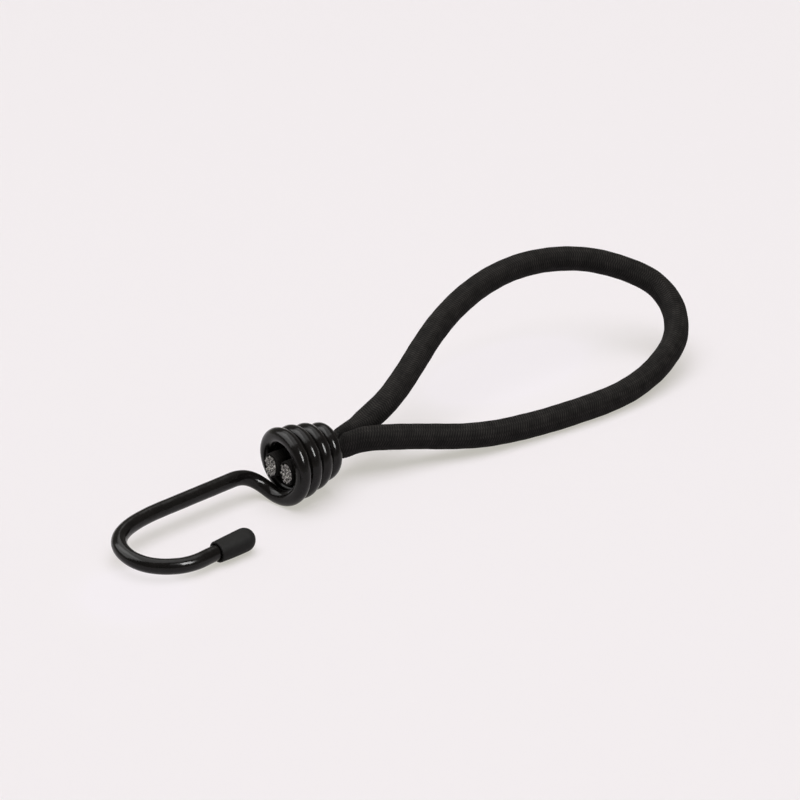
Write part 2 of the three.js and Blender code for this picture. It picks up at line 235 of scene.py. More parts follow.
class ClipSettings(bpy.types.PropertyGroup):
    """Wire clip that binds the two legs inside the coil"""
    x: position("Clip place", "Place along the coil's axis", 0.007)
    wire_diameter: length("Clip wire", "Diameter of the clip's wire", 0.0014)
    clearance: length("Clip clearance", "Room between the clip and a leg", 0.00025)
    opening: length("Opening", "Between the two ends of the clip", 0.001)
    ramp: length("Neck ramp", "Length over which a leg narrows to the clip", 0.0015)
    end_rounding: length("Clip end rounding", "Radius of the edge at the clip's cut ends", 0.0004)
    steel: colour("Clip steel", "Colour of the clip", (0.5, 0.51, 0.53))


class StageSettings(bpy.types.PropertyGroup):
    """Floor, lights and camera"""
    floor: colour("Floor", "Colour of the floor", (0.89, 0.83, 0.96))
    evenness: share("Evenness", "Share of the floor's look that takes no shadow", 0.55)
    # Open evenness and clear set painted light on the floor inside the loop and in front of the bend,
    # washing out the object's shadow there
    open_evenness: share("Open evenness", "The same share inside the loop and in front of the bend", 0.85)
    even: colour("Even", "Colour of that share, and of the horizon", (0.905, 0.88, 0.805))
    clear: colour("Clear", "The same colour inside the loop and in front of the bend", (0.912, 0.872, 0.882))
    overhead: colour("Overhead", "Colour of the surroundings above the horizon", (0.2, 0.19, 0.18))
    floor_size: length("Floor size", "Side of the square floor", 12.0)
    lens: bpy.props.FloatProperty(
        name="Lens", description="Focal length on a 36 mm wide sensor", default=162.0, min=1.0,
        unit="CAMERA")
    camera_turn: angle("Camera turn", "Turn of the view about the vertical, from looking along +Y", 42.5)
    camera_tilt: angle("Camera tilt", "How far the view looks down", 26.8)
    camera_distance: length("Camera distance", "Depth of the coil's mouth in the view", 1.143)
    aim: bpy.props.FloatVectorProperty(
        name="Aim", description="Point by the coil's mouth that the framing is set by",
        default=(0.0004, 0.0, 0.01225), size=3, precision=5, subtype="TRANSLATION", unit="LENGTH")


class BungeeSettings(bpy.types.PropertyGroup):
    """Everything that can be changed on the bungee cord"""
    hook: settings_of(HookSettings, "Hook", "Coated wire hook")
    cap: settings_of(CapSettings, "Cap", "Cap on the hook's tip")
    cord: settings_of(CordSettings, "Cord", "Braided cord")
    strands: settings_of(StrandSettings, "Strands", "Rubber strands")
    clip: settings_of(ClipSettings, "Clip", "Clip round the cord's legs")
    stage: settings_of(StageSettings, "Stage", "Floor, lights and camera")


# Paths and sections

def unit(vectors):
    """Each vector divided by its own length."""
    return vectors / np.linalg.norm(vectors, axis=-1, keepdims=True)


def ease(value):
    """Smooth step: 3t^2 - 2t^3 with t the value held between 0 and 1."""
    t = np.clip(value, 0.0, 1.0)
    return t * t * (3 - 2 * t)


def mix(start, end, amount):
    """start + (end - start) * amount."""
    return start + (end - start) * amount


def distances_along(points):
    """Length of a polyline from its first point to each of its points."""
    steps = np.linalg.norm(np.diff(points, axis=0), axis=1)
    return np.concatenate([[0.0], np.cumsum(steps)])


def at_distances(points, distances, values=None):
    """Points of a fine polyline, or values that belong to them, at given lengths from its start. Each
    coordinate is worked out between neighbours."""
    known = distances_along(points)
    values = points if values is None else values
    return np.stack([np.interp(distances, known, values[:, axis]) for axis in range(3)], axis=-1)


def spline_through(points, spacing):
    """Natural cubic spline through points: second derivatives from the usual three-term equations, zero at
    both ends."""
    knots = distances_along(points)
    gaps = np.diff(knots)[:, None]
    count = len(points)
    system = np.eye(count)
    inner = np.arange(1, count - 1)
    system[inner, inner - 1] = gaps[:-1, 0]
    system[inner, inner] = 2 * (gaps[:-1, 0] + gaps[1:, 0])
    system[inner, inner + 1] = gaps[1:, 0]
    slopes = np.diff(points, axis=0) / gaps
    right = np.zeros_like(points)
    right[1:-1] = 6 * np.diff(slopes, axis=0)
    bend = np.linalg.solve(system, right)
    places = np.linspace(0.0, knots[-1], int(knots[-1] / spacing) + 1)
    span = np.clip(np.searchsorted(knots, places, side="right") - 1, 0, count - 2)
    after = (knots[span + 1] - places)[:, None]
    before = (places - knots[span])[:, None]
    gap = gaps[span]
    return (
        (bend[span] * after ** 3 + bend[span + 1] * before ** 3) / (6 * gap)
        + (points[span] / gap - bend[span] * gap / 6) * after
        + (points[span + 1] / gap - bend[span + 1] * gap / 6) * before
    )


def section_axes(centre, toward):
    """Side and up at each place of a path: toward without its part along the path, and along x side."""
    along = unit(np.gradient(centre, axis=0))
    side = unit(toward - np.sum(toward * along, axis=1, keepdims=True) * along)
    return side, np.cross(along, side)


def carried(centre, side, up, across, rise):
    """Points centre + side * across + up * rise, at every place on a path and round its section."""
    return centre[:, None] + side[:, None] * across[..., None] + up[:, None] * rise[..., None]


def round_angles(sides):
    """Angles of points spread evenly round a section."""
    return np.arange(sides) * 2 * np.pi / sides


def rounded_ends(total, rounding, steps, end_steps):
    """Places along a wire with rounded cut ends, and e and the loss of radius at each: e falls from 1 at a
    cut end to 0 where its rounding begins, and the loss is rounding * (1 - sqrt(1 - e^2))."""
    bow = rounding * (1 - np.cos(np.linspace(0.0, np.pi / 2, end_steps)[:-1]))
    run = np.linspace(rounding, total - rounding, steps)
    places = np.concatenate([bow, run, total - bow[::-1]])
    edge = np.clip(1 - np.minimum(places, total - places) / rounding, 0.0, 1.0)
    return places, edge, rounding * (1 - np.sqrt(1 - edge ** 2))


# Meshes

def grid_faces(rings, sides, ring_join):
    """Quads between neighbouring places of a grid, closed round its sides and with ring_join end to end."""
    here = np.arange(rings if ring_join else rings - 1)[:, None]
    place = np.arange(sides)[None, :]
    after = (here + 1) % rings
    beside = (place + 1) % sides
    corners = [here * sides + place, here * sides + beside, after * sides + beside, after * sides + place]
    return np.stack(corners, axis=-1).reshape(-1, 4)


def grid_uv(lengths, sides, ring_join):
    """Texture places of those quads: u runs once round the section, v is the length along it in metres."""
    here = np.arange(len(lengths) if ring_join else len(lengths) - 1)
    start = np.repeat(lengths[here], sides)
    end = np.repeat(lengths[(here + 1) % len(lengths)], sides)
    left = np.tile(np.arange(sides) / sides, len(here))
    right = left + 1 / sides
    return np.stack([left, start, right, start, right, end, left, end], axis=-1).reshape(-1, 2)


def pole_faces(rings, sides):
    """Fans that close both ends of a grid, round one point after the grid's own points and the next one."""
    place = np.arange(sides)
    beside = (place + 1) % sides
    first = rings * sides
    last = (rings - 1) * sides
    front = np.stack([np.full(sides, first), beside, place], axis=-1)
    back = np.stack([np.full(sides, first + 1), last + place, last + beside], axis=-1)
    return np.concatenate([front, back])


def add_object(name, data):
    """A new object in the scene."""
    item = bpy.data.objects.new(name, data)
    bpy.context.scene.collection.objects.link(item)
    return item


def grid_piece(name, material, points, lengths, poles=None, attributes=None):
    """A mesh object from a grid of points: rings along it, closed round. With poles, two points close its
    ends; without, the last ring joins the first."""
    rings, sides = points.shape[:2]
    ring_join = poles is None
    quads = grid_faces(rings, sides, ring_join)
    uv = grid_uv(lengths, sides, ring_join)
    vertices = points.reshape(-1, 3)
    faces = quads.tolist()
    if poles is not None:
        fans = pole_faces(rings, sides)
        vertices = np.concatenate([vertices, poles])
        faces += fans.tolist()
        ends = np.repeat([lengths[0], lengths[-1]], sides * 3)
        uv = np.concatenate([uv, np.stack([np.full(len(ends), 0.5), ends], axis=-1)])
    mesh = bpy.data.meshes.new(name)
    mesh.from_pydata(vertices.tolist(), [], faces)
    mesh.uv_layers.new(name="UVMap").data.foreach_set("uv", uv.astype(np.float32).ravel())
    for attribute, values in (attributes or {}).items():
        full = np.zeros(len(vertices), np.float32)
        full[:values.size] = values.ravel()
        mesh.attributes.new(attribute, "FLOAT", "POINT").data.foreach_set("value", full)
    mesh.shade_smooth()
    mesh.validate()
    mesh.materials.append(material)
    return add_object(name, mesh)


# Hook wire

def coil_radius(hook, turns):
    """Coil axis to wire centre: mouth radius less taper times the turns and barrel times their square."""
    return hook.mouth_radius - hook.taper * turns - hook.barrel * turns ** 2


def axis_height(hook):
    """Height of the coil's axis: the first turn rests on its flat."""
    return hook.mouth_radius + hook.wire_diameter / 2 - hook.rest_flat


def coil_points(hook, turns):
    """Wire centre in the coil: from under the axis up the near side, and back by one pitch in each turn."""
    around = 2 * np.pi * turns
    radius = coil_radius(hook, turns)
    return np.stack(
        [hook.pitch * turns, -radius * np.sin(around), axis_height(hook) - radius * np.cos(around)], axis=-1)


def cubic(start, start_handle, end_handle, end, steps):
    """Cubic curve without its start:
    (1-t)^3 start + 3t(1-t)^2 start_handle + 3t^2(1-t) end_handle + t^3 end."""
    t = np.linspace(0.0, 1.0, steps)[1:, None]
    return (
        (1 - t) ** 3 * start + 3 * t * (1 - t) ** 2 * start_handle
        + 3 * t * t * (1 - t) * end_handle + t ** 3 * end
    )


def along_cap(x):
    """From 0 at the cap's open edge, and before it, to 1 at its closed end."""
    return np.maximum(x - CAP_LOW[0], 0.0) / (CAP_HIGH[0] - CAP_LOW[0])


def wire_path(hook):
    """Wire centre from the back of the coil to the tip, with the direction that its section keeps to.

    Coil; a cubic curve from the coil's front to the arm; a straight arm; one cubic curve up to the crown of
    the bend and one on to the tip, in the leaning plane of the hook; a straight tip that ends in the cap.
    Before the cap the wire swings out by one cosine wave, and inside it the tip rises with the square of
    the length. The section keeps to the coil's axis in the coil and to the normal of the hook's plane in
    the hook, and turns from one to the other in the sweep."""
    coil = coil_points(hook, np.linspace(hook.turns, 0.0, COIL_STEPS))
    tip_z = (CAP_LOW[2] + CAP_HIGH[2]) / 2
    arm_z = tip_z + hook.width * math.sin(hook.roll)
    lean = np.array([0.0, -math.cos(hook.roll), -math.sin(hook.roll)])

    def in_hook(reach, side):
        return np.array([-reach, hook.arm_side, arm_z]) + lean * side

    front = coil[-1]
    leave = unit(front - coil[-2]) * hook.sweep_coil
    arm_start = in_hook(hook.arm_start, 0.0)
    sweep = cubic(front, front + leave, arm_start + [hook.sweep_arm, 0.0, 0.0], arm_start, SWEEP_STEPS)
    bend_start = in_hook(hook.bend_start, 0.0)
    arm = np.linspace(arm_start, bend_start, ARM_STEPS)[1:]
    middle = hook.width / 2
    crown = in_hook(hook.crown_reach, middle)
    bend_in = cubic(
        bend_start, in_hook(hook.bend_start + hook.arm_handle, 0.0),
        in_hook(hook.crown_reach, middle - hook.crown_in), crown, BEND_STEPS)
    tip_reach = hook.tip_straight - CAP_LOW[0]
    tip_start = in_hook(tip_reach, hook.width)
    bend_out = cubic(
        crown, in_hook(hook.crown_reach, middle + hook.crown_out),
        in_hook(tip_reach + hook.tip_handle, hook.width), tip_start, BEND_STEPS)
    tip_end = in_hook(hook.tip_cover - CAP_HIGH[0], hook.width)
    tip = np.linspace(tip_start, tip_end, TIP_STEPS)[1:]
    hook_end = np.concatenate([bend_out, tip])
    swing = np.clip((hook_end[:, 0] - CAP_LOW[0] + hook.sway_place) / hook.sway_reach, -1.0, 1.0)
    hook_end = hook_end + lean * (hook.sway / 2 * (1 + np.cos(np.pi * swing)))[:, None]
    hook_end[:, 2] += hook.tip_lift * along_cap(hook_end[:, 0]) ** 2
    centre = np.concatenate([coil, sweep, arm, bend_in, hook_end])
    turned = ease(np.linspace(0.0, 1.0, len(sweep)))
    rest = len(centre) - len(coil) - len(sweep)
    hook_share = np.concatenate([np.zeros(len(coil)), turned, np.ones(rest)])
    normal = np.array([0.0, -math.sin(hook.roll), math.cos(hook.roll)])
    toward = mix(np.array([1.0, 0.0, 0.0]), normal, hook_share[:, None])
    return centre, toward


def coating_waves(lengths, turn):
    """Unevenness of the coating, from -1 to 1: three slow waves that wind along and round the wire."""
    mm = lengths[:, None] * 1000
    slow = np.sin(0.62 * mm + 2 * turn) + np.sin(0.41 * mm - turn + 1.3)
    return (slow + 0.7 * np.sin(1.13 * mm + 3 * turn + 0.4)) / 2.7


def wire_surface(hook, sides=40, spacing=0.0006):
    """The wire: a circle carried along its path. Its radius ripples in slow waves, both ends round off, and
    no point is below the surface that the coil rests on."""
    centre, toward = wire_path(hook)
    total = distances_along(centre)[-1]
    places, edge, loss = rounded_ends(total, hook.end_rounding, int(total / spacing), end_steps=9)
    line = at_distances(centre, places)
    side, up = section_axes(line, at_distances(centre, places, toward))
    turn = round_angles(sides)[None, :]
    ripple = hook.ripple * coating_waves(places, turn) * (1 - edge[:, None])
    thick = (hook.wire_diameter / 2 - loss)[:, None] + ripple
    points = carried(line, side, up, thick * np.cos(turn), thick * np.sin(turn))
    points[..., 2] = np.maximum(points[..., 2], 0.0)
    return points, places, np.stack([line[0], line[-1]])


# Tip cap

def cap_surface(hook, cap, sides=72, bore_steps=12, edge_steps=7, body_steps=16, dome_steps=22):
    """The cap: a profile turned about its axis. From the bottom of the bore along the bore, round the open
    edge as a half circle, along the outside, which swells towards the closed end, and over an oval dome. It
    rises with the square of the length along it."""
    outer = (CAP_HIGH[2] - CAP_LOW[2]) / 2
    rim = cap.rim_diameter / 2
    total = CAP_HIGH[0] - CAP_LOW[0]
    bore = hook.wire_diameter / 2 + cap.clearance
    bottom = total - cap.crown
    edge = cap.edge
    round_in = np.linspace(0.0, np.pi / 2, edge_steps)
    inside = np.stack([np.full(bore_steps, bore), np.linspace(bottom, edge, bore_steps)], axis=-1)
    inner_edge = np.stack([bore + edge * (1 - np.cos(round_in)), edge * (1 - np.sin(round_in))], axis=-1)[1:]
    outer_edge = np.stack([rim - edge * (1 - np.sin(round_in)), edge * (1 - np.cos(round_in))], axis=-1)
    body = np.linspace(edge, total - cap.dome, body_steps)[1:]
    swell = np.sin(np.pi / 2 * (body - edge) / (total - cap.dome - edge))
    outside = np.stack([mix(rim, outer, swell), body], axis=-1)
    over = np.linspace(0.0, np.pi / 2, dome_steps)[1:-1]
    dome = np.stack([outer * np.cos(over), total - cap.dome + cap.dome * np.sin(over)], axis=-1)
    profile = np.concatenate([inside, inner_edge, outer_edge, outside, dome])
    radius, along = profile[:, :1], profile[:, 1:]
    turn = round_angles(sides)[None, :]
    middle = (np.array(CAP_LOW) + np.array(CAP_HIGH)) / 2
    points = np.stack(np.broadcast_arrays(
        CAP_LOW[0] + along, middle[1] + radius * np.cos(turn), middle[2] + radius * np.sin(turn)), axis=-1)
    poles = np.array([[CAP_LOW[0] + bottom, middle[1], middle[2]], [CAP_HIGH[0], middle[1], middle[2]]])
    points[..., 2] += hook.tip_lift * along_cap(points[..., 0]) ** 2
    poles[:, 2] += hook.tip_lift * along_cap(poles[:, 0]) ** 2
    return points, distances_along(profile), poles


# Cord

def leg_sizes(settings, x):
    """Half width, half height and side offset of a leg at x inside the coil.

    The two legs share the round room inside the coil's tightest turn, less the clip's wire in the neck."""
    hook, cord, clip = settings.hook, settings.cord, settings.clip
    radius = cord.diameter / 2
    turns = np.clip(x / hook.pitch + 0.5, 0.0, hook.turns)
    room = coil_radius(hook, turns) - hook.wire_diameter / 2 - cord.clearance
    neck_half = clip.wire_diameter / 2 + clip.clearance
    in_neck = 1 - ease((np.abs(x - clip.x) - neck_half) / clip.ramp)
    room = room - in_neck * (clip.wire_diameter + 2 * clip.clearance)
    width = np.minimum(cord.flatten * radius, (room - cord.gap / 2) / 2)
    offset = width + cord.gap / 2
    height = np.minimum(cord.stretch * radius, cord.round_fit * np.sqrt(room ** 2 - offset ** 2))
    return width, height, offset


def coil_back(hook):
    """Back of the coil's last turn."""
    return hook.pitch * hook.turns + hook.wire_diameter / 2


def through_coil(hook, x):
    """From 0 in the mouth of the coil to 1 at its last turn."""
    return np.clip(x / (hook.pitch * hook.turns), 0.0, 1.0)


def pair_roll(settings, x):
    """Slope of the pair of legs at x: from the mouth's to the back's over the length of the coil."""
    return mix(settings.cord.mouth_roll, settings.cord.back_roll, through_coil(settings.hook, x))


def leg_centre(settings, x, hand):
    """Centre of a leg at x inside the coil: the pair's middle and the leg's offset along its slope."""
    hook = settings.hook
    offset = hand * leg_sizes(settings, x)[2]
    roll = pair_roll(settings, x)
    middle = axis_height(hook) - mix(settings.cord.drop, 0.0, through_coil(hook, x))
    return np.stack([x, offset * np.cos(roll), middle + offset * np.sin(roll)], axis=-1)


def cord_centre(settings, proud=0.0, leg_steps=60, spacing=0.0001):
    """Centre line of the cord from the far leg's cut end round the loop to the near leg's: one smooth curve
    through the legs, worked out inside the coil, and the loop's route."""
    cord = settings.cord
    back = coil_back(settings.hook)
    far_x = np.linspace(cord.end_x - proud, back, leg_steps)
    near_x = np.linspace(back, cord.end_x + cord.stagger - proud, leg_steps)
    far_leg = leg_centre(settings, far_x, 1.0)
    near_leg = leg_centre(settings, near_x, -1.0)
    return spline_through(np.concatenate([far_leg, LOOP_ROUTE, near_leg]), spacing)


def cord_section(settings, line):
    """Half width, half height, side and up of the cord along its centre line.

    Squeezed inside the coil. Behind it a leg grows taller than the free cord at once, and then round.
    Side is the pair's up direction x the path, and up is the path x side."""
    cord = settings.cord
    radius = cord.diameter / 2
    back = coil_back(settings.hook)
    x = line[:, 0]
    width, height, _ = leg_sizes(settings, np.minimum(x, back))
    wider = np.clip((x - back) / (cord.round_x - back), 0.0, 1.0)
    taller = ease((x - back) / (cord.tall_x - back))
    width = mix(width, radius, wider)
    height = mix(height, radius * (1 + cord.bulge * (1 - wider)), taller)
    roll = pair_roll(settings, x)
    pair_up = np.stack([np.zeros_like(roll), -np.sin(roll), np.cos(roll)], axis=-1)
    along = unit(np.gradient(line, axis=0))
    side = unit(np.cross(pair_up, along))
    return width, height, side, np.cross(along, side)


def braid_height(cord, lengths, turn):
    """Height of the braid's surface, from 0 in its gaps to 1 on its crests.

    The round is cut into as many columns as there are carriers. In even columns the yarns that climb one
    way lie on top, and in odd columns those that climb the other way. Across a yarn the height is a half
    circle, and along it a shallow arch, a tenth lower at both edges of the column, where it dives under its
    neighbours."""
    columns = turn / (2 * np.pi) * cord.carriers
    column = np.round(columns)
    lean = np.where(column % 2 == 0, 0.5, -0.5)
    phase = lengths / cord.pick + lean * columns
    rib = np.sqrt(1 - (2 * (phase % 1.0) - 1) ** 2)
    arch = np.cos(np.pi * (columns - column))
    return rib * (0.9 + 0.1 * arch)


def sheath_surface(settings, sides=48, steps_per_pick=5, hidden_step=0.0005, bore_steps=150, lip_steps=9):
    """The braided sheath: an oval tube carried along the cord, with rounded cut ends and a bore. Its
    outside is raised and lowered by the braid's relief and two slow waves, except where the coil hides it.
    The rings run out along the outside and back in the bore."""
    cord = settings.cord
    centre = cord_centre(settings)
    total = distances_along(centre)[-1]
    fine = cord.pick / steps_per_pick
    ends = np.arange(0.0, cord.mouth_end, fine)
    slow = np.arange(ends[-1] + hidden_step, cord.hidden, hidden_step)
    free = np.arange(cord.hidden, total - cord.hidden, fine)
    outside = np.concatenate([ends, slow, free, (total - slow)[::-1], (total - ends)[::-1]])
    inside = np.linspace(total, 0.0, bore_steps)
    lip = np.linspace(0.0, np.pi, lip_steps)[1:-1]
    wall = cord.wall / cord.diameter
    places = np.concatenate([outside, np.full(len(lip), total), inside, np.zeros(len(lip))])
    level = np.concatenate([
        np.ones(len(outside)), 1 - wall + wall * np.cos(lip),
        np.full(len(inside), 1 - 2 * wall), 1 - wall - wall * np.cos(lip)])
    beyond = np.concatenate([
        np.zeros(len(outside)), np.sin(lip), np.zeros(len(inside)), -np.sin(lip)]) * cord.wall / 2
    line = at_distances(centre, outside)
    width, height, side, up = cord_section(settings, line)
    ring = np.searchsorted(outside, places)
    along = np.cross(side, up)
    spot = line[ring] + along[ring] * beyond[:, None]
    turn = round_angles(sides)[None, :]
    yarn = braid_height(cord, places[:, None], turn + np.pi / 3 / cord.carriers)
    outer = np.arange(len(places)) < len(outside)
    far_hidden = (places > ends[-1]) & (places < cord.hidden)
    near_hidden = (places < total - ends[-1]) & (places > total - cord.hidden)
    shown = np.where(outer & ~far_hidden & ~near_hidden, 1.0, 0.0)[:, None]
    uneven = 0.006 * np.sin(places * 410 + 1.1) + 0.005 * np.sin(places * 973)
    lift = cord.relief / (cord.diameter / 2) * (yarn - BRAID_LEVEL)
    factor = level[:, None] * (1 + (lift + uneven[:, None]) * shown)
    points = carried(
        spot, side[ring], up[ring],
        width[ring][:, None] * factor * np.cos(turn), height[ring][:, None] * factor * np.sin(turn))
    points[..., 2] = np.maximum(points[..., 2], 0.0)
    # The heights also set the braid's painted gap shade; hidden and bore parts get the plain level
    return points, places, mix(PLAIN_LEVEL, yarn, shown), centre


def strand_places(strands):
    """Places of the strands across the cord: one in the middle, then rings of six, twelve and so on."""
    rings = [np.zeros((1, 2))]
    for row in range(1, strands.rings + 1):
        around = round_angles(6 * row) + np.pi / (6 * row)
        rings.append(row * strands.pitch * np.stack([np.cos(around), np.sin(around)], axis=-1))
    return np.concatenate(rings)


def rounded(wave):
    """A sine or cosine for a rounded square: its sign times its size to the power of 0.8."""
    return np.sign(wave) * np.abs(wave) ** 0.8


def strand_surface(settings, place, cut, sides=12, steps=130):
    """One rubber strand: a rounded square carried at its place in the cord and squeezed with it. Its two
    ends spread out of the sheath, cut at slightly different lengths and slants, with a worn edge."""
    strands, cord = settings.strands, settings.cord
    reach = strands.proud + strands.uneven
    centre = cord_centre(settings, reach)
    total = distances_along(centre)[-1]
    start = strands.uneven * (1 + cut[0])
    end = total - strands.uneven * (1 + cut[1])
    edge = strands.worn * WORN_EDGE[:, 0]
    shrink = WORN_EDGE[:, 1]
    inside = reach + strands.settle
    run = np.linspace(cord.mouth_end, total - cord.mouth_end, steps)
    middle = np.concatenate([[inside], run, [total - inside]])
    places = np.concatenate([start + edge, middle, (end - edge)[::-1]])
    radius = np.concatenate([shrink, np.ones(len(middle)), shrink[::-1]]) * strands.radius
    at_end = np.concatenate([np.ones(len(edge)), np.zeros(len(middle)), -np.ones(len(edge))])
    spread = 1 + strands.flare * np.abs(at_end)
    line = at_distances(centre, places)
    width, height, side, up = cord_section(settings, line)
    width = width / (cord.diameter / 2)
    height = height / (cord.diameter / 2)
    turn = round_angles(sides)[None, :]
    across = place[0] * spread[:, None] + radius[:, None] * rounded(np.cos(turn))
    rise = place[1] * spread[:, None] + radius[:, None] * rounded(np.sin(turn))
    points = carried(line, side, up, across * width[:, None], rise * height[:, None])
    along = np.cross(side, up)
    slant = (cut[2] * np.cos(turn) + cut[3] * np.sin(turn)) * radius[:, None] * at_end[:, None]
    points += along[:, None] * slant[..., None]
    ends = [0, -1]
    offset = side[ends] * (place[0] * width[ends])[:, None] + up[ends] * (place[1] * height[ends])[:, None]
    poles = line[ends] + offset * spread[ends, None]
    return points, places, poles


# Clip

def clip_surface(settings, sides=14, steps=160, fine_steps=1200):
    """The clip: a circle carried round an open ring, half an oval beyond each leg with straight runs
    between. Its two ends are rounded and stand apart on top."""
    clip = settings.clip
    x = np.array([clip.x])
    width, height, offset = (float(size[0]) for size in leg_sizes(settings, x))
    roll = float(pair_roll(settings, x)[0])
    middle = leg_centre(settings, x, 0.0)[0]
    wire = clip.wire_diameter / 2
    reach = clip.clearance + wire
    across = np.array([0.0, math.cos(roll), math.sin(roll)])
    up = np.array([0.0, -math.sin(roll), math.cos(roll)])
    open_angle = math.atan2(clip.opening / 2 + wire, offset + height + reach)
    around = np.linspace(open_angle, 2 * np.pi - open_angle, fine_steps) + np.pi / 2
    shift = offset * np.clip(2 * np.cos(around), -1.0, 1.0)
    ring = (
        middle + across * (shift + (width + reach) * np.cos(around))[:, None]
        + up * ((height + reach) * np.sin(around))[:, None]
    )
    total = distances_along(ring)[-1]
    places, _, loss = rounded_ends(total, clip.end_rounding, steps, end_steps=6)
    line = at_distances(ring, places)
    side, rise = section_axes(line, np.tile([1.0, 0.0, 0.0], (len(line), 1)))
    radius = (wire - loss)[:, None]
    turn = round_angles(sides)[None, :]
    points = carried(line, side, rise, radius * np.cos(turn), radius * np.sin(turn))
    return points, places, np.stack([line[0], line[-1]])


# Materials

class Finish:
    """A procedural material under construction: its nodes, its links and its shader."""

    def __init__(self, name):
        self.material = bpy.data.materials.new(name)
        self.material.use_nodes = True
        self.tree = self.material.node_tree
        self.shader = self.tree.nodes["Principled BSDF"]

    def node(self, kind, **inputs):
        """A node with its input sockets set, or linked where the value is another node's socket."""
        node = self.tree.nodes.new(kind)
        for name, value in inputs.items():
            self.feed(node.inputs[name.replace("_", " ")], value)
        return node

    def feed(self, socket, value):
        """Sets an input socket, or links another node's socket to it."""
        if isinstance(value, bpy.types.NodeSocket):
            self.tree.links.new(value, socket)
        else:
            socket.default_value = value

    def shade(self, **inputs):
        """Sets or links the shader's own sockets."""
        for name, value in inputs.items():
            self.feed(self.shader.inputs[name.replace("_", " ")], value)

    def object_place(self):
        """Object coordinates."""
        return self.node("ShaderNodeTexCoord").outputs["Object"]

    def surface_place(self, across, along):
        """The piece's own texture places, scaled round and along it."""
        place = self.node("ShaderNodeUVMap").outputs["UV"]
        return self.node("ShaderNodeMapping", Vector=place, Scale=(across, along, 1.0)).outputs["Vector"]

    def noise(self, place, scale, detail=3.0, roughness=0.55):
        """Value of a noise texture at a place."""
        return self.node("ShaderNodeTexNoise", Vector=place, Scale=scale, Detail=detail,
                         Roughness=roughness).outputs["Fac"]

    def spread(self, value, low, high, to_low, to_high):
        """A value carried from one range to another."""
        node = self.node("ShaderNodeMapRange")
        for name, number in zip(("Value", "From Min", "From Max", "To Min", "To Max"),
                                (value, low, high, to_low, to_high)):
            self.feed(node.inputs[name], number)
        return node.outputs["Result"]

    def patch(self, centre, reach):
        """A smooth hill on an oval patch of floor: (1 - r)^2, r from 0 in its middle to 1 at its edge."""
        start = (-centre[0] / reach[0], -centre[1] / reach[1], 0.0)
        scale = (1 / reach[0], 1 / reach[1], 1.0)
        place = self.node("ShaderNodeMapping", Vector=self.object_place(), Location=start, Scale=scale)
        hill = self.node("ShaderNodeTexGradient", Vector=place.outputs["Vector"])
        hill.gradient_type = "QUADRATIC_SPHERE"
        return hill.outputs["Fac"]

    def sum(self, first, second):
        """Two values added, held to 1."""
        node = self.tree.nodes.new("ShaderNodeMath")
        node.use_clamp = True
        self.feed(node.inputs[0], first)
        self.feed(node.inputs[1], second)
        return node.outputs["Value"]

    def ramp(self, value, *stops):
        """Colours along a value, given as (place, colour) pairs."""
        node = self.node("ShaderNodeValToRGB", Fac=value)
        elements = node.color_ramp.elements
        while len(elements) < len(stops):
            elements.new(0.5)
        for element, (place, shade) in zip(elements, stops):
            element.position = place
            element.color = (*shade, 1.0)
        return node.outputs["Color"]

    def toned(self, shade, amount):
        """A colour socket made lighter or darker by a value."""
        node = self.tree.nodes.new("ShaderNodeVectorMath")
        node.operation = "SCALE"
        self.feed(node.inputs["Vector"], shade)
        self.feed(node.inputs["Scale"], amount)
        return node.outputs["Vector"]

    def bump(self, height, distance, strength=1.0, under=None):
        """Normals bumped by a height of so many metres, over another bump where one is given."""
        node = self.node("ShaderNodeBump", Height=height, Distance=distance, Strength=strength)
        if under is not None:
            self.feed(node.inputs["Normal"], under)
        return node.outputs["Normal"]


def scaled(shade, amount):
    """A colour made lighter or darker."""
    return tuple(min(1.0, channel * amount) for channel in shade)


def coated_finish(hook):
    """Glossy black coating: faint clouding, uneven gloss, slow waves and a fine orange peel."""
    finish = Finish("black_wire_coating")
    place = finish.object_place()
    clouds = finish.noise(place, 320.0)
    gloss = finish.noise(place, 900.0, 4.0)
    peel = finish.noise(place, 1800.0, 2.0)
    waves = finish.noise(place, 260.0, 1.0)
    finish.shade(
        Base_Color=finish.ramp(clouds, (0.3, scaled(hook.coating, 0.8)), (0.75, scaled(hook.coating, 1.5))),
        Roughness=finish.spread(gloss, 0.3, 0.7, 0.12, 0.2),
        Specular_IOR_Level=0.22,
        Normal=finish.bump(peel, 0.000012, under=finish.bump(waves, 0.00006)),
    )
    return finish.material


def cap_finish(cap):
    """Matt black vinyl: soft clouding and a fine dull grain."""
    finish = Finish("matt_cap_vinyl")
    place = finish.object_place()
    clouds = finish.noise(place, 500.0)
    grain = finish.noise(place, 5200.0, 2.0)
    finish.shade(
        Base_Color=finish.ramp(clouds, (0.3, scaled(cap.vinyl, 0.85)), (0.75, scaled(cap.vinyl, 1.15))),
        Roughness=finish.spread(grain, 0.3, 0.7, 0.55, 0.7),
        Specular_IOR_Level=0.15,
        Normal=finish.bump(grain, 0.00003),
    )
    return finish.material


